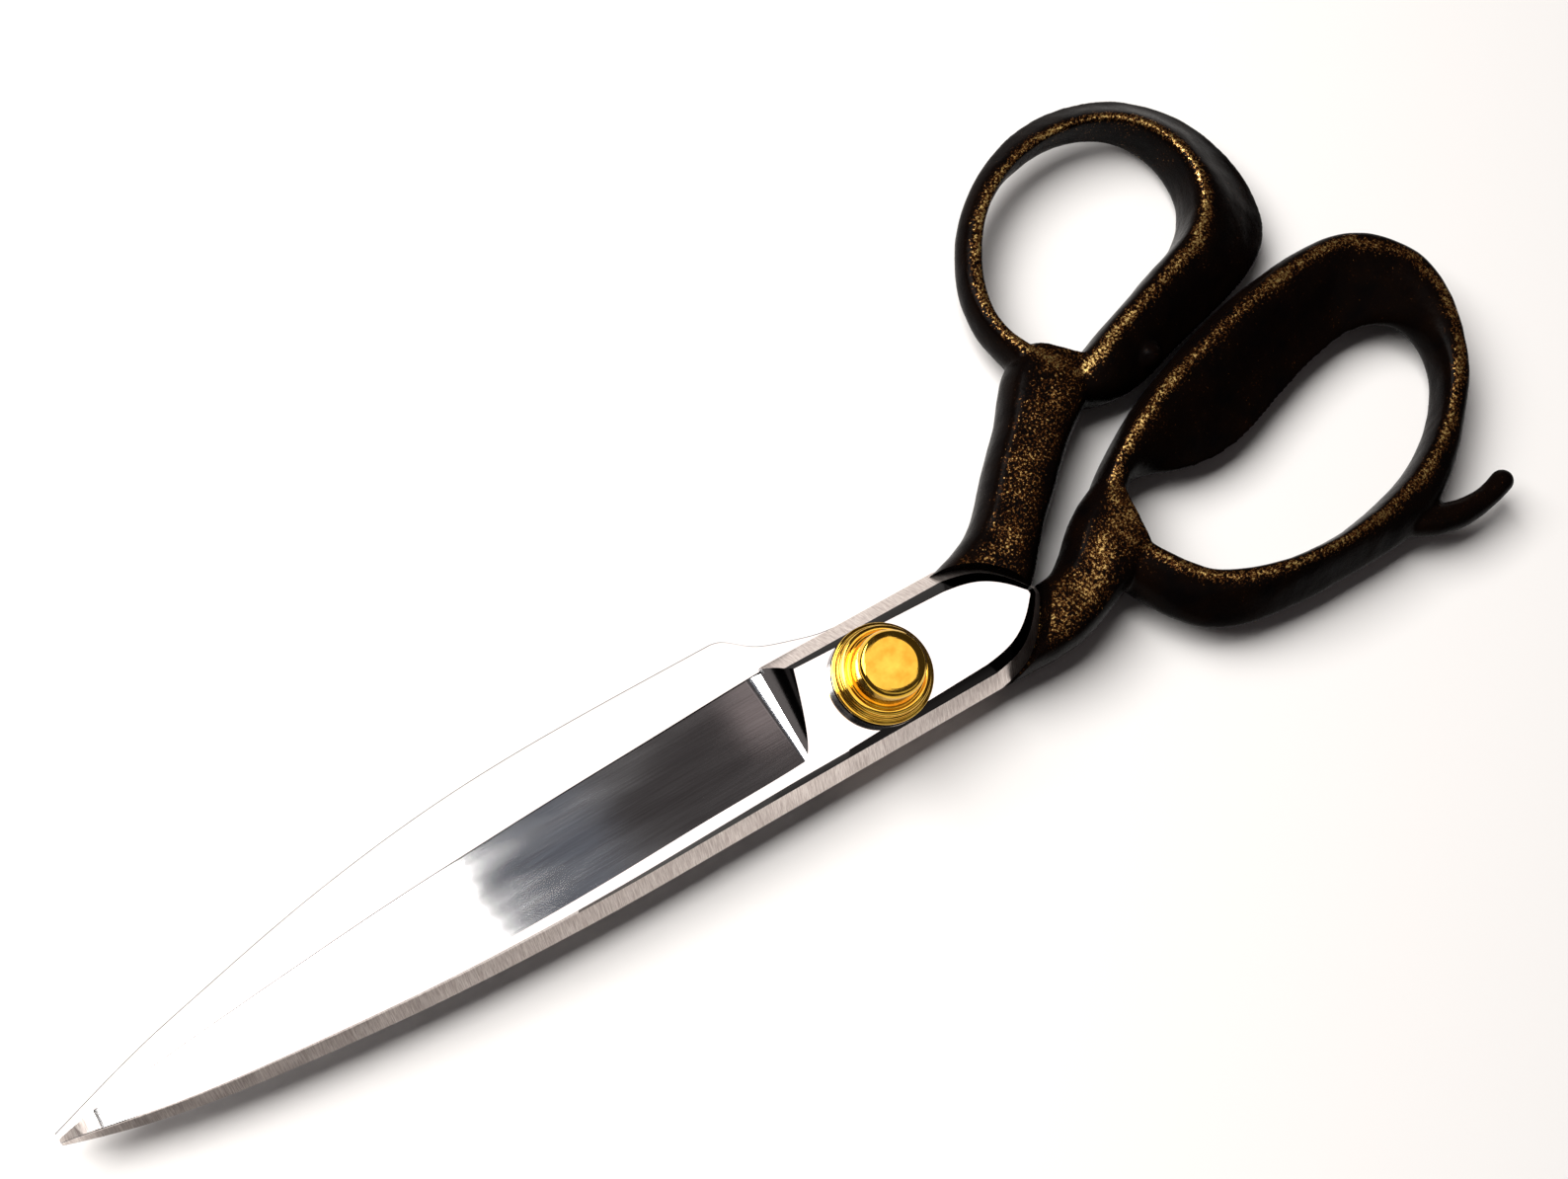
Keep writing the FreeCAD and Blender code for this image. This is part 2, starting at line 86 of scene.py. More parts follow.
FRONT_SECTIONS = [
    (10.0, -10.0, 5.0, 10.35, 2.20, 5.00),
    (17.0, -9.8, 5.5, 10.35, 2.20, 5.00),
    (32.0, -9.1, 5.8, 10.35, 2.20, 4.70),
    (48.0, -8.4, 6.2, 10.30, 2.15, 4.30),
    (64.0, -7.5, 6.3, 9.80, 2.05, 3.85),
    (80.0, -6.4, 6.0, 8.85, 1.90, 3.35),
    (94.0, -5.1, 5.1, 7.50, 1.75, 2.85),
    (106.0, -3.9, 4.0, 6.05, 1.55, 2.40),
    (116.0, -2.8, 2.7, 4.35, 1.30, 1.95),
    (124.0, -1.8, 1.2, 2.40, 0.95, 1.50),
    (130.1, -0.6, 0.1, 0.50, 0.30, 0.95),
]
BACK_SECTIONS = [
    (18.6, -5.8, 12.2, 17.10, 2.20, 5.00),
    (32.0, -5.6, 12.6, 17.10, 2.20, 4.70),
    (48.0, -5.2, 12.8, 16.90, 2.15, 4.30),
    (64.0, -4.7, 12.1, 16.00, 2.05, 3.85),
    (80.0, -4.1, 10.5, 13.95, 1.90, 3.35),
    (94.0, -3.4, 8.3, 11.30, 1.75, 2.85),
    (106.0, -2.6, 6.0, 8.50, 1.55, 2.40),
    (116.0, -1.9, 4.1, 6.00, 1.30, 1.95),
    (124.0, -1.2, 2.0, 3.50, 0.95, 1.50),
    (130.3, -0.2, 0.8, 1.40, 0.30, 0.95),
]
BACK_HEEL = [(-2.0, 10.35), (3.0, 10.7), (7.0, 11.7), (10.4, 12.7), (13.0, 13.8), (14.8, 15.1),
             (16.2, 16.2), (17.4, 16.85), (18.6, 17.1)]
THUMB_SHANK = [
    ((-23.5, 3.0), (-9.0, -9.0), 5.75, 0.0),
    ((-30.6, -1.4), (-18.8, -10.4), 5.75, 0.0),
    ((-35.6, -6.6), (-26.8, -13.8), 5.7, 0.0),
    ((-42.5, -12.7), (-34.0, -20.6), 5.6, 0.0),
    ((-49.5, -18.6), (-40.7, -27.0), 5.5, 0.0),
    ((-56.4, -23.2), (-46.9, -33.4), 5.3, 0.0),
    ((-60.2, -27.2), (-51.6, -35.0), 4.4, 0.0),
]
THUMB_BOW = [
    ((-55.0, -28.5), (-47.6, -29.6), 4.4, 0.1),
    ((-52.0, -33.6), (-47.4, -34.0), 4.2, 0.1),
    ((-49.6, -39.4), (-46.2, -39.9), 3.7, 0.1),
    ((-51.0, -47.1), (-47.4, -48.6), 3.4, 0.1),
    ((-55.6, -54.6), (-52.7, -57.4), 3.4, 0.2),
    ((-62.0, -60.0), (-60.3, -63.6), 3.5, 0.3),
    ((-70.2, -62.8), (-70.2, -67.8), 3.8, 0.4),
    ((-79.4, -63.0), (-81.0, -68.2), 4.2, 0.45),
    ((-87.7, -59.4), (-91.4, -64.8), 4.8, 0.5),
    ((-91.6, -52.4), (-99.4, -57.0), 5.4, 0.5),
    ((-91.0, -45.2), (-103.1, -46.2), 6.0, 0.5),
    ((-86.6, -40.0), (-101.2, -34.6), 6.7, 0.45),
    ((-78.4, -36.6), (-89.6, -27.2), 6.8, 0.4),
    ((-69.9, -33.6), (-75.2, -23.5), 6.6, 0.4),
    ((-63.2, -31.4), (-66.4, -21.0), 6.2, 0.35),
    ((-59.4, -30.0), (-59.8, -20.6), 5.8, 0.2),
    ((-55.0, -28.4), (-53.6, -22.6), 4.8, 0.1),
]
FINGER_SHANK = [
    ((-12.0, -2.5), (-10.0, 9.6), 5.75, 0.0),
    ((-27.0, -1.2), (-22.5, 10.6), 5.75, 0.0),
    ((-34.8, -1.4), (-32.5, 10.4), 5.75, 0.0),
    ((-41.0, -6.0), (-39.8, 8.2), 5.8, 0.0),
    ((-46.6, -9.4), (-44.6, 6.6), 5.8, 0.0),
    ((-51.3, -11.2), (-49.8, 4.8), 5.5, 0.0),
]
FINGER_BOW = [
    ((-49.5, -3.0), (-46.5, -8.6), 4.6, 0.0),
    ((-55.2, -7.8), (-54.0, -13.6), 5.6, -0.2),
    ((-61.5, -6.2), (-62.2, -18.0), 6.2, -0.4),
    ((-70.5, -4.5), (-72.2, -21.9), 6.5, -0.5),
    ((-79.5, -5.6), (-83.4, -25.2), 6.8, -0.55),
    ((-88.6, -8.5), (-94.4, -27.2), 6.8, -0.55),
    ((-97.6, -11.2), (-104.2, -27.8), 6.5, -0.5),
    ((-106.0, -11.6), (-113.6, -25.6), 6.2, -0.4),
    ((-112.0, -8.6), (-120.8, -18.6), 5.6, -0.25),
    ((-114.2, -3.2), (-122.2, -9.4), 5.0, -0.1),
    ((-112.8, 1.8), (-119.2, 0.6), 4.4, 0.0),
    ((-108.9, 6.4), (-113.9, 8.3), 4.1, 0.1),
    ((-103.0, 10.6), (-107.6, 14.4), 4.3, 0.15),
    ((-95.4, 13.6), (-98.4, 20.6), 4.8, 0.25),
    ((-86.0, 15.5), (-87.4, 22.6), 5.8, 0.35),
    ((-75.0, 16.0), (-74.8, 22.6), 6.7, 0.4),
    ((-64.6, 14.2), (-62.2, 21.6), 6.6, 0.4),
    ((-56.6, 10.4), (-51.6, 17.6), 6.0, 0.35),
    ((-51.8, 4.4), (-45.4, 9.2), 5.6, 0.2),
    ((-48.6, -1.5), (-41.6, 0.5), 4.6, 0.1),
]
REST_ROUTE = [
    (-91.0, 18.6, 2.6),
    (-98.0, 22.0, 2.6),
    (-104.6, 23.2, 2.2),
    (-109.6, 22.7, 1.95),
    (-112.4, 22.0, 2.0),
]
CAST_BOSS = (-68.4, -24.2, 8.6, 2.4)   # x, y, z, radius of a boss on the thumb casting

CURVE_STEPS = 8
NOSE_STEPS = 12
HEEL_STEPS = 4
CUTTER_SIDE = 30.0
CUTTER_TOP = 12.0
CUTTER_OVERRUN = 2.0
BORE_TOP = 20.0
ROUND_STEPS = 192
BORE_STEPS = 160
HOOK_END_RINGS = 6
HOOK_END_SPREAD = 6.5
BOSS_RINGS = 12
SWELL_SIZE = 7.0
RIPPLE_SIZE = 2.6
RIPPLE_SHARE = 0.5
CAST_VOXEL = 0.36
MELT_SMOOTHING = 0.5
MELT_PASSES = 10
FAR_AWAY = 1e9
BLADE_SHARP_ANGLE = 11
CAST_SHARP_ANGLE = 40
NUT_SHARP_ANGLE = 50

# Strength of the gold flecks along the shank and the crest of each bow: wear, and a painted highlight on
# the crests.
THUMB_WEAR_AND_HIGHLIGHT = (0.62, 1.0)
FINGER_WEAR_AND_HIGHLIGHT = (0.75, 0.9)

# (radius, height) of the nut's outside and of the hollow that clears the bolt.
NUT_PROFILE = [
    (0.3, 18.6), (3.0, 18.6), (3.0, 13.85), (5.3, 13.85), (5.3, 12.95),
    (7.8, 12.95), (7.8, 13.7), (7.35, 13.75), (7.2, 14.0), (7.2, 14.5),
    (6.9, 14.65), (6.9, 15.6), (6.2, 15.75), (5.75, 15.55), (5.6, 15.8), (5.35, 17.9),
    (5.2, 19.4), (4.7, 20.05), (3.6, 20.2), (0.3, 20.2),
]
NUT_ROUNDING = 0.28

# Parts of a unit normal that tell the blade's ground surfaces apart.
FLAT_DOWN = -0.98
UNDERCUT = -0.3
FLAT_UP = 0.995
SIDEWAYS = 0.2
EDGEWARD = -0.1
FORWARD = 0.01
BEVEL_UP = 0.7
# Steeper plunge faces get steel painted near black: a painted dark reflection.
STEEP = 0.9   # upward part of a normal below which the plunge shows dark
TIP_FACE_X = 120.0
PLUNGE_MARGIN = 0.5
PLUNGE_END_MARGIN = 0.02

FLOOR_REACH = 3000
FLOOR_Z = -0.05


# ---------------------------------------------------------------- geometry helpers
def through(points, steps):
    """Points on a natural cubic curve through the given ones, steps per stretch."""
    data = np.array(points, float)
    gaps = np.linalg.norm(np.diff(data[:, :2], axis=0), axis=1)
    place = np.concatenate([[0.0], np.cumsum(gaps)])
    count = len(data)
    system = np.eye(count)
    right = np.zeros_like(data)
    for i in range(1, count - 1):
        system[i, i - 1:i + 2] = gaps[i - 1], 2 * (gaps[i - 1] + gaps[i]), gaps[i]
        rise = (data[i + 1] - data[i]) / gaps[i] - (data[i] - data[i - 1]) / gaps[i - 1]
        right[i] = 6 * rise
    bend = np.linalg.solve(system, right)
    result = []
    for i in range(count - 1):
        for step in range(steps + (i == count - 2)):
            b = step / steps
            a = 1 - b
            curve = ((a ** 3 - a) * bend[i] + (b ** 3 - b) * bend[i + 1]) * gaps[i] ** 2 / 6
            result.append(a * data[i] + b * data[i + 1] + curve)
    return result


def mesh_object(name, points, faces):
    """A mesh from points in millimetres, with its faces turned outwards."""
    mesh = bpy.data.meshes.new(name)
    mesh.from_pydata([Vector(p) * MM for p in points], [], faces)
    work = bmesh.new()
    work.from_mesh(mesh)
    bmesh.ops.recalc_face_normals(work, faces=work.faces)
    work.to_mesh(mesh)
    work.free()
    piece = bpy.data.objects.new(name, mesh)
    bpy.context.collection.objects.link(piece)
    return piece


def loft(name, rings):
    """A closed skin over rings that all have the same number of points."""
    around = len(rings[0])
    points = [p for ring in rings for p in ring]
    faces = []
    for row in range(len(rings) - 1):
        for k in range(around):
            after = (k + 1) % around
            low = row * around
            faces.append((low + k, low + after, low + around + after, low + around + k))
    faces.append(tuple(range(around)))
    faces.append(tuple(range(len(points) - around, len(points))))
    return mesh_object(name, points, faces)


def turned_over(points):
    """Points turned half a turn about the line where the blades meet."""
    return [(x, -y, 2 * MEETING_Z - z) for x, y, z in points]


def lathe(name, profile, around=ROUND_STEPS, centre=(0.0, 0.0)):
    """A solid of revolution about an upright axis, from (radius, height) points."""
    turns = [2 * math.pi * k / around for k in range(around)]
    rings = []
    for radius, z in profile:
        rings.append([(centre[0] + radius * math.cos(t), centre[1] + radius * math.sin(t), z)
                      for t in turns])
    return loft(name, rings)


def tube(name, radius, low, high, centre=(0.0, 0.0)):
    return lathe(name, [(radius, low), (radius, high)], BORE_STEPS, centre)


def settle(piece):
    """The piece's modifiers become its mesh."""
    graph = bpy.context.evaluated_depsgraph_get()
    mesh = bpy.data.meshes.new_from_object(piece.evaluated_get(graph))
    piece.modifiers.clear()
    piece.data = mesh
    mesh.name = piece.name


def combine(piece, others, operation):
    """Booleans with the other pieces, which are then removed."""
    for other in others:
        modifier = piece.modifiers.new(operation, "BOOLEAN")
        modifier.operation = operation
        modifier.solver = "EXACT"
        modifier.object = other
        settle(piece)
        bpy.data.objects.remove(other)


def joined(name, parts):
    """Several closed skins in one mesh."""
    work = bmesh.new()
    for part in parts:
        work.from_mesh(part.data)
        bpy.data.objects.remove(part)
    mesh = bpy.data.meshes.new(name)
    work.to_mesh(mesh)
    work.free()
    piece = bpy.data.objects.new(name, mesh)
    bpy.context.collection.objects.link(piece)
    return piece


# ---------------------------------------------------------------- blades
def plate_ring(inset, height, drawn_in=0.0):
    """One closed outline of the pivot plate at a height; drawn_in narrows its rear."""
    half = PLATE_HALF_WIDTH - inset
    nose = PLATE_NOSE_X + inset * NOSE_INSET + drawn_in
    start = PLATE_NOSE_START_X + inset * NOSE_START_SHARE + drawn_in
    length = start - nose
    side = [(start - share * length, (half - drawn_in) * width)
            for share, width in NOSE_SHAPE]
    side = [(x, y) for x, y in through(side, NOSE_STEPS)]
    outline = [(PLATE_FRONT_X, half)] + side
    outline += [(x, -y) for x, y in reversed(side)] + [(PLATE_FRONT_X, -half)]
    return [(x, y, MEETING_Z + height) for x, y in outline]


def narrow_bevel(x, scale):
    share = max(BEVEL_LEAST_SHARE, 1 - max(0.0, x - BEVEL_FADE_X) / BEVEL_FADE_LENGTH)
    return POLISHED_BEVEL * scale * share


def blank_ring(row):
    x, edge, _, spine, strip, thickness = row
    scale = thickness / PLATE_THICKNESS
    z = MEETING_Z
    return [
        (x, edge, z + BLADE_GAP / 2),
        (x, edge, z + EDGE_LAND),
        (x, edge + EDGE_LEAN * scale, z + thickness),
        (x, spine - strip - narrow_bevel(x, scale), z + thickness),
        (x, spine - strip, z + STRIP_TOP * scale),
        (x, spine, z + SIDE_LAND * scale),
        (x, spine, z + BLADE_GAP / 2 + ARRIS),
        (x, spine - ARRIS, z + BLADE_GAP / 2),
    ]


def bevel_ring(row, x, honed=False):
    """The section that the wide bevel takes off, or the honed edge's smaller one."""
    edge, ridge, thickness = row[1], row[2], row[5]
    scale = thickness / PLATE_THICKNESS
    low = MEETING_Z + EDGE_HEIGHT * scale
    high = MEETING_Z + thickness
    slope = (high - low) / (ridge - edge)
    if honed:
        ridge = edge + HONED_WIDTH * scale
        high = low + slope * HONED_WIDTH * scale
        slope += HONED_DROP / HONED_WIDTH
        low = high - slope * HONED_WIDTH * scale
    return [
        (x, -CUTTER_SIDE, low - slope * (CUTTER_SIDE + edge)),
        (x, ridge, high),
        (x, ridge, MEETING_Z + CUTTER_TOP),
        (x, -CUTTER_SIDE, MEETING_Z + CUTTER_TOP),
    ]


def plunge_cutter(row):
    """The cone that rounds the start of the wide bevel."""
    edge, ridge, thickness = row[1], row[2], row[5]
    low = MEETING_Z + EDGE_HEIGHT * thickness / PLATE_THICKNESS
    rise = MEETING_Z + thickness - low
    angle = math.atan2(rise, ridge - edge)
    length = math.hypot(rise, ridge - edge)
    along = Vector((0, math.cos(angle), math.sin(angle)))
    away = Vector((0, -math.sin(angle), math.cos(angle)))
    foot = Vector((PLUNGE_X, edge, low))
    rings = []
    for place in (-PLUNGE_LEAD, length):
        radius = PLUNGE_EDGE_RADIUS + (PLUNGE_RIDGE_RADIUS - PLUNGE_EDGE_RADIUS) * place / length
        ring = []
        for k in range(ROUND_STEPS):
            turn = 2 * math.pi * k / ROUND_STEPS
            ring.append(foot + along * place + away * (radius * (1 - math.cos(turn)))
                        + Vector((radius * math.sin(turn), 0, 0)))
        rings.append(ring)
    return loft("plunge", rings)


def blade(name, rows, over, heel=None):
    """A ground blade with its pivot plate; over is True for the lower one."""
    along = [tuple(row) for row in through(rows, CURVE_STEPS)]
    body = loft(name, [plate_ring(0.0, BLADE_GAP / 2), plate_ring(0.0, SIDE_LAND),
                       plate_ring(STRIP_WIDTH, STRIP_TOP),
                       plate_ring(STRIP_WIDTH + POLISHED_BEVEL, PLATE_THICKNESS, REAR_WIDENING)])
    extra = [loft("blank", [blank_ring(row) for row in along])]
    if heel:
        edge = rows[0][1]
        heel_rows = [(x, edge, 0.0, spine, STRIP_WIDTH, PLATE_THICKNESS)
                     for x, spine in through(heel, HEEL_STEPS)]
        extra.append(loft("heel", [blank_ring(row) for row in heel_rows]))
    combine(body, extra, "UNION")
    ground = [row for row in along if row[0] >= PLUNGE_X - 0.01]
    rings = [bevel_ring(ground[0], PLUNGE_X)]
    rings += [bevel_ring(row, row[0]) for row in ground[1:]]
    rings.append(bevel_ring(ground[-1], ground[-1][0] + CUTTER_OVERRUN))
    hone = [bevel_ring(row, row[0], True) for row in ground]
    cutters = [loft("wedge", rings), plunge_cutter(ground[0]), loft("hone", hone)]
    combine(body, cutters, "DIFFERENCE")
    combine(body, [tube("bore", SHANK_RADIUS, 0.0, BORE_TOP)], "DIFFERENCE")
    if over:
        for vertex in body.data.vertices:
            vertex.co = Vector((vertex.co.x, -vertex.co.y, 2 * MEETING_Z * MM - vertex.co.z))
    return body


# ---------------------------------------------------------------- handles
def handle_ring(row, around=40):
    """A section of a handle, thinned to one side by the row's taper."""
    inner, outer, half_height, taper = row[0:2], row[2:4], row[4], row[5]
    ring = []
    for step in range(around):
        turn = 2 * math.pi * step / around
        across = 0.5 - 0.5 * math.cos(turn)
        skewed = turn + SECTION_SKEW * taper * math.sin(turn)
        full = SECTION_FULLNESS * (1 - abs(taper))
        rise = math.sin(skewed) * (1 + full * math.cos(skewed) ** 2)
        thin_side = across if taper > 0 else 1 - across
        thinning = 1 - THINNING * abs(taper) * thin_side
        ring.append((inner[0] + (outer[0] - inner[0]) * across,
                     inner[1] + (outer[1] - inner[1]) * across,
                     MEETING_Z + half_height * rise * thinning))
    return ring


def handle_skin(rows):
    flat = [(*inner, *outer, height, taper) for inner, outer, height, taper in rows]
    return loft("skin", [handle_ring(row) for row in through(flat, CURVE_STEPS)])


def hook_skin():
    """The small finger rest, with a round end."""
    rings = []
    route = through(REST_ROUTE, CURVE_STEPS)
    for i, (x, y, radius) in enumerate(route):
        before = Vector(route[max(i - 1, 0)][:2])
        after = Vector(route[min(i + 1, len(route) - 1)][:2])
        ahead = (after - before).normalized()
        rings.append(ring_across((x, y), ahead, radius))
    for k in range(1, HOOK_END_RINGS + 1):
        turn = math.pi / 2 * k / HOOK_END_SPREAD
        spot = Vector((x, y)) + ahead * (radius * math.sin(turn))
        rings.append(ring_across(spot, ahead, radius * math.cos(turn)))
    return loft("hook", rings)


def ring_across(spot, ahead, radius, around=32):
    """An upright ring square to the direction ahead."""
    side = Vector((-ahead[1], ahead[0], 0))
    centre = Vector((spot[0], spot[1], MEETING_Z))
    ring = []
    for k in range(around):
        turn = 2 * math.pi * k / around
        ring.append(centre + side * (radius * math.cos(turn)) + Vector((0, 0, radius * math.sin(turn))))
    return ring


def roughen(mesh):
    """Slow swells over a casting, read from its normals before any point moves."""
    points = []
    for vertex in mesh.vertices:
        swell = noise.noise(vertex.co / (SWELL_SIZE * MM))
        swell += RIPPLE_SHARE * noise.noise(vertex.co / (RIPPLE_SIZE * MM))
        points.extend(vertex.co + vertex.normal * (swell * CAST_UNEVENNESS * MM))
    mesh.vertices.foreach_set("co", points)
    mesh.update()


def crest_line(rows):
    """The highest points, in plan, along a handle's skin."""
    flat = [(*inner, *outer, height, taper) for inner, outer, height, taper in rows]
    rings = [handle_ring(row) for row in through(flat, CURVE_STEPS)]
    return [max(ring, key=lambda point: point[2])[:2] for ring in rings]


def mark_wear_and_highlight(piece, lines):
    """A point attribute of wear and painted highlight, 1 on the given lines in plan and fading beside them.
    """
    mesh = piece.data
    flat = np.empty(len(mesh.vertices) * 3)
    mesh.vertices.foreach_get("co", flat)
    place = flat.reshape(-1, 3)[:, :2] / MM
    wear_and_highlight = np.zeros(len(place))
    for line, width, strength in lines:
        nearest = np.full(len(place), FAR_AWAY)
        for spot in line:
            nearest = np.minimum(nearest, ((place - np.array(spot)) ** 2).sum(axis=1))
        wear_and_highlight = np.maximum(wear_and_highlight, strength * np.exp(-nearest / width ** 2))
    mesh.attributes.new("wear_and_highlight", "FLOAT", "POINT").data.foreach_set("value", wear_and_highlight)


def boss(x, y, z, radius, around=24):
    """A small round swelling for a casting."""
    rings = []
    for k in range(1, BOSS_RINGS):
        turn = math.pi * k / BOSS_RINGS
        ring = ring_across((x, y), Vector((1.0, 0.0)), radius * math.sin(turn), around)
        rings.append([(x - radius * math.cos(turn), p[1], p[2] - MEETING_Z + z) for p in ring])
    return loft("boss", rings)


def casting(name, skins, cutters):
    """One cast handle: its skins melted together, then cut round the blades."""
    piece = joined(name, skins)
    remesh = piece.modifiers.new("melt", "REMESH")
    remesh.mode = "VOXEL"
    remesh.voxel_size = CAST_VOXEL * MM
    smooth = piece.modifiers.new("smooth", "SMOOTH")
    smooth.factor = MELT_SMOOTHING
    smooth.iterations = MELT_PASSES
    settle(piece)
    roughen(piece.data)
    combine(piece, cutters, "DIFFERENCE")
    return piece


def plate_room(low, high, over):
    """The room that a casting leaves for the other lever's pivot plate."""
    rings = [plate_ring(-LEVER_CLEARANCE, low), plate_ring(-LEVER_CLEARANCE, high)]
    if over:
        rings = [turned_over(ring) for ring in rings]
    return loft("room", rings)


def arc_cutter(over):
    """A round cutter that gives a casting its arc-shaped front end."""
    x, y = CASTING_ARC_CENTRE
    low, high = MEETING_Z - BLADE_GAP, MEETING_Z + CASTING_REACH
    if over:
        return tube("arc", CASTING_ARC_RADIUS, 2 * MEETING_Z - high, 2 * MEETING_Z - low, (x, -y))
    return tube("arc", CASTING_ARC_RADIUS, low, high, (x, y))


# ---------------------------------------------------------------- turned pieces
def rounded(profile, radius, steps=4):
    """The same profile with each inner corner point cut round."""
    result = [profile[0]]
    for before, corner, after in zip(profile, profile[1:], profile[2:]):
        c = Vector(corner)
        a = Vector(before) - c
        b = Vector(after) - c
        reach = min(radius, a.length * 0.45, b.length * 0.45)
        p, q = c + a.normalized() * reach, c + b.normalized() * reach
        for k in range(steps + 1):
            t = k / steps
            result.append(tuple(p * (1 - t) ** 2 + c * (2 * t * (1 - t)) + q * t ** 2))
    result.append(profile[-1])
    return result


def shade(piece, degrees):
    piece.data.shade_smooth()
    piece.data.set_sharp_from_angle(angle=math.radians(degrees))


# ---------------------------------------------------------------- materials
class Paint:
    """A material and short calls for its nodes."""

    def __init__(self, name, **sockets):
        self.material = bpy.data.materials.new(name)
        self.material.use_nodes = True
        self.tree = self.material.node_tree
        self.shader = self.tree.nodes["Principled BSDF"]
        for key, value in sockets.items():
            self.shader.inputs[key.replace("_", " ")].default_value = value
        self.place = self.tree.nodes.new("ShaderNodeTexCoord").outputs["Object"]

    def node(self, kind, inputs=None, **settings):
        node = self.tree.nodes.new("ShaderNode" + kind)
        for key, value in settings.items():
            setattr(node, key, value)
        for key, value in (inputs or {}).items():
            if isinstance(value, bpy.types.NodeSocket):
                self.tree.links.new(value, node.inputs[key])
            else:
                node.inputs[key].default_value = value
        return node

    def stretched(self, scale, turn=0.0):
        node = self.node("Mapping", {"Vector": self.place, "Scale": scale,
                                     "Rotation": (0.0, 0.0, turn)})
        return node.outputs[0]

    def noise(self, where, scale, detail=3.0, roughness=0.55):
        return self.node("TexNoise", {"Vector": where, "Scale": scale, "Detail": detail,
                                      "Roughness": roughness}).outputs["Fac"]

    def between(self, value, low, high, to_low=0.0, to_high=1.0):
        node = self.node("MapRange", {"Value": value, "From Min": low, "From Max": high,
                                      "To Min": to_low, "To Max": to_high})
        return node.outputs["Result"]

    def sums(self, operation, first, second):
        return self.node("Math", {0: first, 1: second}, operation=operation).outputs[0]

    def mix(self, share, first, second):
        node = self.node("Mix", data_type="RGBA")
        for socket, value in ((node.inputs[0], share), (node.inputs[6], first), (node.inputs[7], second)):
            if isinstance(value, bpy.types.NodeSocket):
                self.tree.links.new(value, socket)
            else:
                socket.default_value = value
        return node.outputs[2]

    def bump(self, height, strength, distance):
        node = self.node("Bump", {"Height": height, "Strength": strength, "Distance": distance})
        self.link(node.outputs[0], "Normal")

    def link(self, output, name):
        self.tree.links.new(output, self.shader.inputs[name])


def rgb(*values):
    return (*values, 1.0)


def enamel():
    """Black enamel over a cast handle. Its gold and brown flecks are thickest on the shank and the bow
    crests, partly wear and partly a painted highlight, and fewest on steep sides, a painted shade.
    """
    paint = Paint("hammered_enamel", IOR=1.08)
    fine = paint.noise(paint.place, 2300.0, 3.0, 0.75)
    broad = paint.noise(paint.place, 210.0, 3.0, 0.6)
    wear_and_highlight = paint.node("Attribute", attribute_name="wear_and_highlight").outputs["Fac"]
    # More flecks on up-facing tops and fewer on steep sides: painted light and shade from above.
    up = paint.node("SeparateXYZ", {0: paint.node("NewGeometry").outputs["Normal"]})
    painted_light_from_above = paint.between(up.outputs["Z"], 0.4, 0.95, -0.10, 0.0)
    drift = paint.between(broad, 0.35, 0.7, -0.04, 0.05)
    # Gold flecks gather on the shank and bow crests, partly wear and partly a painted highlight. Away from
    # them there are fewer flecks, a painted shade.
    rubbed_and_highlit = paint.between(wear_and_highlight, 0.0, 0.9, -0.115, 0.11)
    level = paint.sums("ADD", paint.sums("ADD", fine, painted_light_from_above), paint.sums("ADD", drift, rubbed_and_highlit))
    fleck = paint.between(level, 0.55, 0.66)
    # The flecks turn pale gold where the level is highest, on the crests: a painted highlight.
    tint = paint.mix(paint.between(level, 0.62, 0.76), rgb(0.17, 0.055, 0.012), rgb(0.95, 0.72, 0.26))
    ground = paint.mix(paint.between(broad, 0.3, 0.7), rgb(0.0015, 0.001, 0.001), rgb(0.004, 0.0018, 0.001))
    paint.link(paint.mix(fleck, ground, tint), "Base Color")
    paint.link(fleck, "Metallic")
    paint.link(paint.between(fine, 0.3, 0.7, 0.20, 0.36), "Roughness")
    hills = paint.noise(paint.place, 900.0, 3.0, 0.55)
    paint.bump(hills, 0.5, 0.0001)
    return paint.material


def polished(name, color, rough, lines=0.02):
    """Mirror-polished steel with faint lengthwise polishing lines."""
    paint = Paint(name, Metallic=1.0)
    streak = paint.noise(paint.stretched((60.0, 5200.0, 5200.0)), 1.0, 4.0)
    cloud = paint.noise(paint.place, 90.0, 3.0)
    tint = paint.mix(paint.between(cloud, 0.3, 0.7), rgb(*color), rgb(*[c * 0.93 for c in color]))
    paint.link(tint, "Base Color")
    paint.link(paint.between(streak, 0.3, 0.7, rough * 0.8, rough * 1.5), "Roughness")
    paint.bump(streak, lines, 0.00002)
    return paint.material


def ground_strip():
    """The chamfer, ground across its length into a warm satin."""
    paint = Paint("cross_ground_steel", Metallic=1.0)
    lines = paint.noise(paint.stretched((6500.0, 420.0, 420.0), 0.35), 1.0, 4.0, 0.7)
    broad = paint.noise(paint.place, 240.0, 3.0)
    tint = paint.mix(paint.between(lines, 0.35, 0.65), rgb(0.50, 0.42, 0.39), rgb(0.86, 0.79, 0.74))
    paint.link(tint, "Base Color")
    paint.link(paint.between(broad, 0.3, 0.7, 0.30, 0.44), "Roughness")
    paint.bump(lines, 0.5, 0.00004)
    return paint.material


def brushed_bevel():
    """The wide bevel, brushed along the blade."""
    paint = Paint("brushed_bevel_steel", Metallic=1.0)
    lines = paint.noise(paint.stretched((45.0, 4200.0, 4200.0)), 1.0, 5.0, 0.65)
    cloud = paint.noise(paint.stretched((40.0, 160.0, 160.0)), 1.0, 2.0)
    tint = paint.mix(paint.between(lines, 0.3, 0.7), rgb(0.62, 0.60, 0.60), rgb(0.84, 0.84, 0.85))
    paint.link(tint, "Base Color")
    paint.link(paint.between(cloud, 0.3, 0.7, 0.06, 0.12), "Roughness")
    paint.bump(lines, 0.05, 0.00003)
    return paint.material


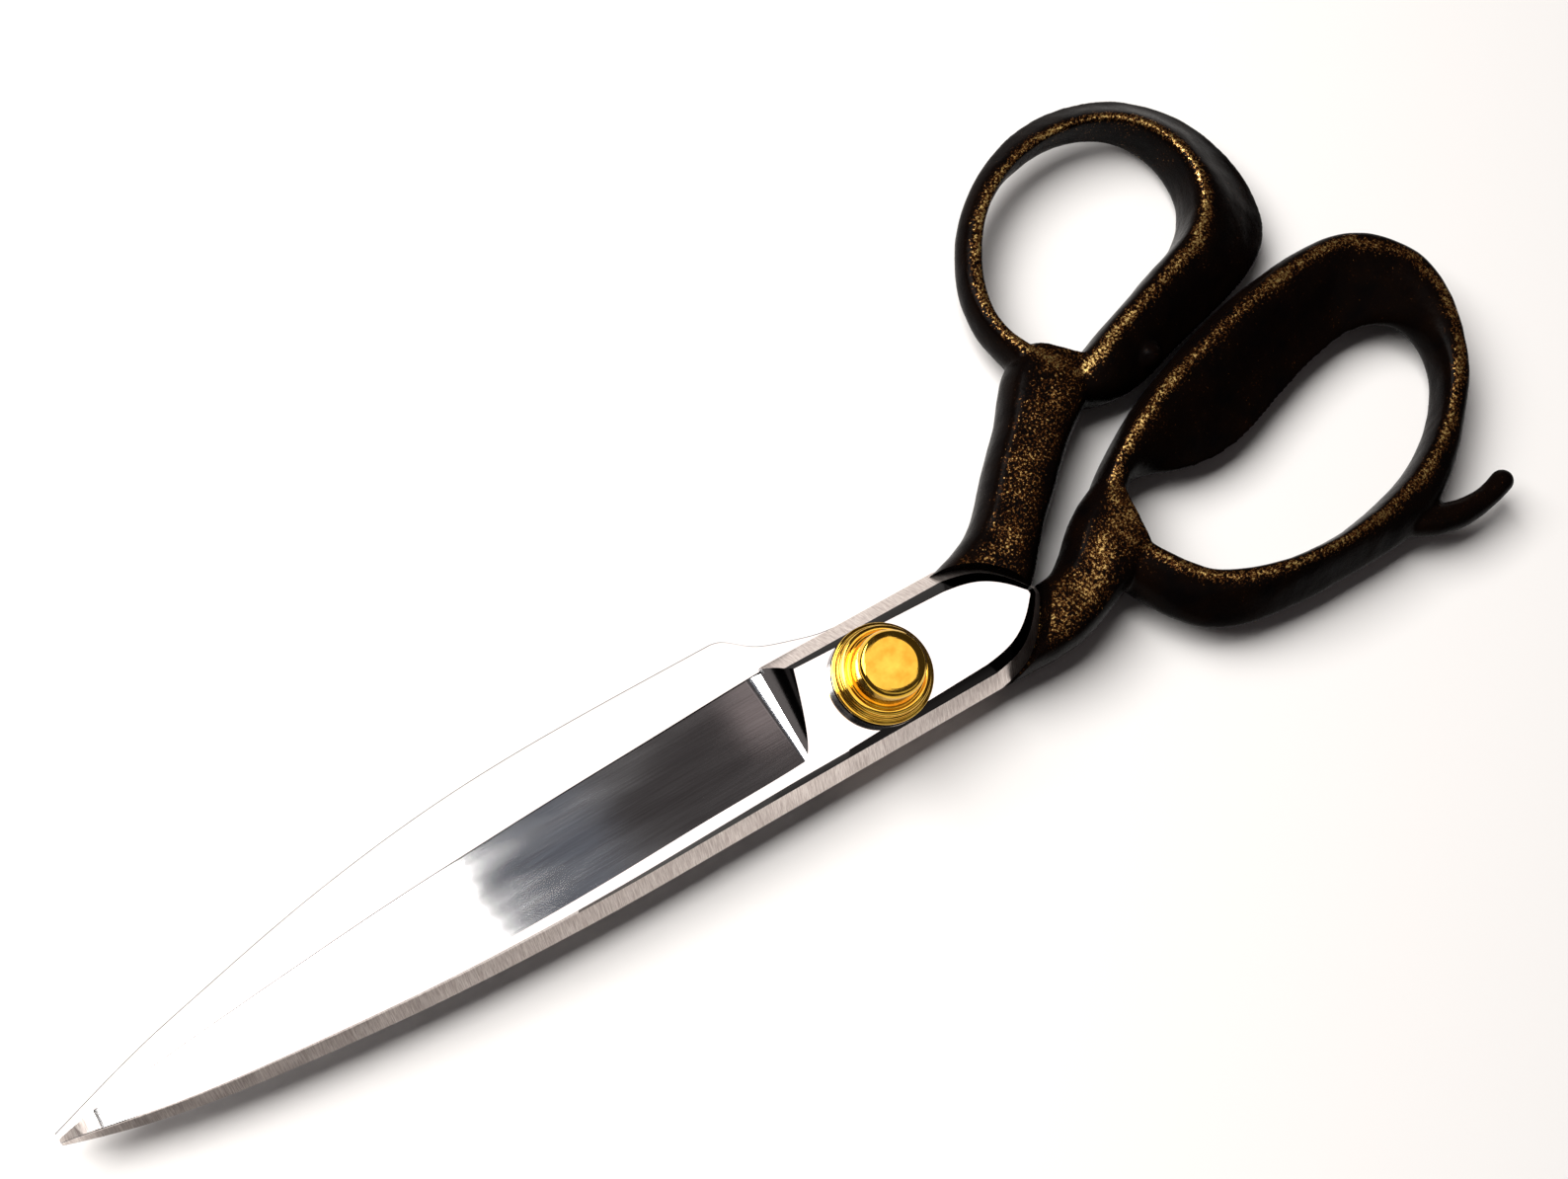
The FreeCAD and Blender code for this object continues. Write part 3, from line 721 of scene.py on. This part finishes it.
def brass():
    """Polished brass with fine turned rings."""
    paint = Paint("polished_brass", Metallic=1.0)
    cloud = paint.noise(paint.place, 420.0, 4.0)
    where = paint.node("SeparateXYZ", {0: paint.place})
    across = paint.stretched((1.0, 1.0, 0.0))
    radius = paint.node("VectorMath", {0: across}, operation="LENGTH").outputs["Value"]
    section = paint.node("CombineXYZ", {0: radius, 2: where.outputs["Z"]}).outputs[0]
    rings = paint.noise(section, 9000.0, 2.0)
    tint = paint.mix(paint.between(cloud, 0.3, 0.7), rgb(0.68, 0.35, 0.035), rgb(0.88, 0.56, 0.08))
    paint.link(tint, "Base Color")
    paint.link(paint.between(cloud, 0.3, 0.7, 0.05, 0.10), "Roughness")
    paint.bump(rings, 0.15, 0.00003)
    return paint.material


# ---------------------------------------------------------------- the object
steel = polished("mirror_steel", (0.90, 0.90, 0.91), 0.07)
inner_steel = polished("inner_ground_steel", (0.84, 0.84, 0.85), 0.11)
# Near-black polished steel: a painted dark reflection, for the narrow bevel, the plunge's steep side,
# undercuts, the honed edge and the washer.
painted_dark_reflection_steel = polished("dark_painted_reflection_bevel", (0.011, 0.010, 0.010), 0.12)
chamfer = ground_strip()
bevel = brushed_bevel()
coat = enamel()
gold = brass()
MIRROR, STRIP, PAINTED_DARK, BEVEL, INNER = range(5)


def surface_of(face, rows, over):
    """Which ground surface of the blade a face belongs to; the dark ones get steel painted near black, a
    painted dark reflection.
    """
    nx, ny, nz = face.normal
    x, _, z = face.center / MM
    if over:
        ny, nz, z = -ny, -nz, 2 * MEETING_Z - z
    thickness = np.interp(x, [row[0] for row in rows], [row[5] for row in rows])
    strip_top = MEETING_Z + STRIP_TOP * thickness / PLATE_THICKNESS
    if nz < FLAT_DOWN:
        return INNER
    # Undercut faces, the plunge's steep side, the honed edge and the narrow bevel get near-black steel: a
    # painted dark reflection.
    if nz < UNDERCUT:
        return PAINTED_DARK
    if nz > FLAT_UP or nz < SIDEWAYS:
        return MIRROR
    plunge_start = PLUNGE_X - PLUNGE_EDGE_RADIUS - PLUNGE_MARGIN
    if plunge_start < x < PLUNGE_X + PLUNGE_END_MARGIN and nx > FORWARD:
        return PAINTED_DARK if nz < STEEP else MIRROR
    if ny < EDGEWARD and x > TIP_FACE_X and nz < STEEP:
        return STRIP
    if ny < EDGEWARD and x > PLUNGE_X:
        return BEVEL if nz > BEVEL_UP else PAINTED_DARK
    return STRIP if z < strip_top else PAINTED_DARK


def dress_blade(piece, rows, over):
    for material in (steel, chamfer, painted_dark_reflection_steel, bevel, inner_steel):
        piece.data.materials.append(material)
    for face in piece.data.polygons:
        face.material_index = surface_of(face, rows, over)
    shade(piece, BLADE_SHARP_ANGLE)


front = blade("front_blade_steel", FRONT_SECTIONS, False)
dress_blade(front, FRONT_SECTIONS, False)
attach(front, "front_lever")
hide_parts("front_blade")

back = blade("back_blade_steel", BACK_SECTIONS, True, BACK_HEEL)
dress_blade(back, BACK_SECTIONS, True)
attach(back, "back_lever")
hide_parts("back_blade")

thumb = casting(
    "thumb_bow_casting",
    [handle_skin(THUMB_SHANK), handle_skin(THUMB_BOW), boss(*CAST_BOSS)],
    [arc_cutter(False), plate_room(-BLADE_GAP, CASTING_REACH, True)],
)
finger = casting(
    "finger_bow_casting",
    [handle_skin(FINGER_SHANK), handle_skin(FINGER_BOW), hook_skin()],
    [arc_cutter(True), plate_room(-BLADE_GAP, CASTING_REACH, False)],
)
# Gold along the shank and bow crests: wear and a painted highlight.
for piece, shank, bow, wear_and_highlight_strength in ((thumb, THUMB_SHANK, THUMB_BOW, THUMB_WEAR_AND_HIGHLIGHT),
                                (finger, FINGER_SHANK, FINGER_BOW, FINGER_WEAR_AND_HIGHLIGHT)):
    mark_wear_and_highlight(piece, [(crest_line(shank), SHANK_WEAR_AND_HIGHLIGHT_WIDTH, wear_and_highlight_strength[0]),
                      (crest_line(bow), CREST_WEAR_AND_HIGHLIGHT_WIDTH, wear_and_highlight_strength[1])])
for piece, body, node in ((thumb, "front_lever", "thumb_handle"), (finger, "back_lever", "finger_handle")):
    piece.data.materials.append(coat)
    shade(piece, CAST_SHARP_ANGLE)
    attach(piece, body)
    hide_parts(node)

nut = lathe("tension_nut_brass", rounded(NUT_PROFILE, NUT_ROUNDING))
nut.data.materials.append(gold)
shade(nut, NUT_SHARP_ANGLE)
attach(nut, "nut")
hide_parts("tension_nut")

# The washer gets the near-black steel: painted shade, the dark crescent round the nut.
for node, material in (("pivot_bolt", steel), ("nut_washer", painted_dark_reflection_steel), ("spring_washer", inner_steel)):
    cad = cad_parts[node]
    cad.data.materials.clear()
    cad.data.materials.append(material)

# ---------------------------------------------------------------- floor, light, camera
floor_corners = [(x * FLOOR_REACH, y * FLOOR_REACH, FLOOR_Z)
                 for x, y in ((-1, -1), (1, -1), (1, 1), (-1, 1))]
floor = mesh_object("floor", floor_corners, [(0, 1, 2, 3)])
ground = Paint("pale_floor", Base_Color=rgb(0.92, 0.90, 0.89), Roughness=0.9, Specular_IOR_Level=0.1)
floor.data.materials.append(ground.material)


def lamp(name, spot, size, power, color, aim, lights_floor=False):
    """An area lamp; one that doesn't light the floor shows only in reflections."""
    light = bpy.data.lights.new(name, "AREA")
    light.shape = "RECTANGLE"
    light.size, light.size_y = size
    light.energy = power
    light.color = color
    holder = bpy.data.objects.new(name, light)
    holder.location = spot
    holder.rotation_euler = (Vector(aim) - Vector(spot)).to_track_quat("-Z", "Y").to_euler()
    holder.visible_diffuse = lights_floor
    bpy.context.collection.objects.link(holder)


lamp("key", (0.47, -0.54, 0.85), (0.95, 0.75), 23.0, (1.0, 0.985, 0.96), (0.47, 0.0, 0.0), True)
lamp("back", (0.0, 0.62, 0.85), (1.3, 0.55), 1.1, (1.0, 0.98, 0.95), (0.0, 0.0, 0.0))
lamp("streak", (-0.24, -0.70, 0.74), (0.05, 0.2), 0.007, (1.0, 0.82, 0.80), (-0.24, 0.0, 0.0))
lamp("blue_side", (-0.06, -0.60, 0.80), (0.08, 0.5), 0.012, (0.6, 0.75, 1.0), (-0.06, 0.0, 0.0))
lamp("top", (-0.10, -0.1, 0.95), (0.74, 0.5), 1.7, (1.0, 0.90, 0.85), (-0.10, -0.1, 0.0))

world = bpy.data.worlds.new("studio")
world.use_nodes = True
world.node_tree.nodes["Background"].inputs["Color"].default_value = rgb(0.052, 0.046, 0.046)
world.node_tree.nodes["Background"].inputs["Strength"].default_value = 1.0
bpy.context.scene.world = world
bpy.context.scene.view_settings.view_transform = "Standard"

lens = bpy.data.cameras.new("camera")
lens.lens = 50.0
lens.sensor_width = 36.0
camera = bpy.data.objects.new("camera", lens)
turn = Matrix(((-0.83675336, 0.51091566, 0.197),
               (-0.45239098, -0.84771069, 0.277),
               (0.30852264, 0.14265966, 0.9404584)))
camera.matrix_world = Matrix.Translation((0.10587, 0.02794, 0.31660)) @ turn.transposed().to_4x4()
bpy.context.collection.objects.link(camera)
bpy.context.scene.camera = camera
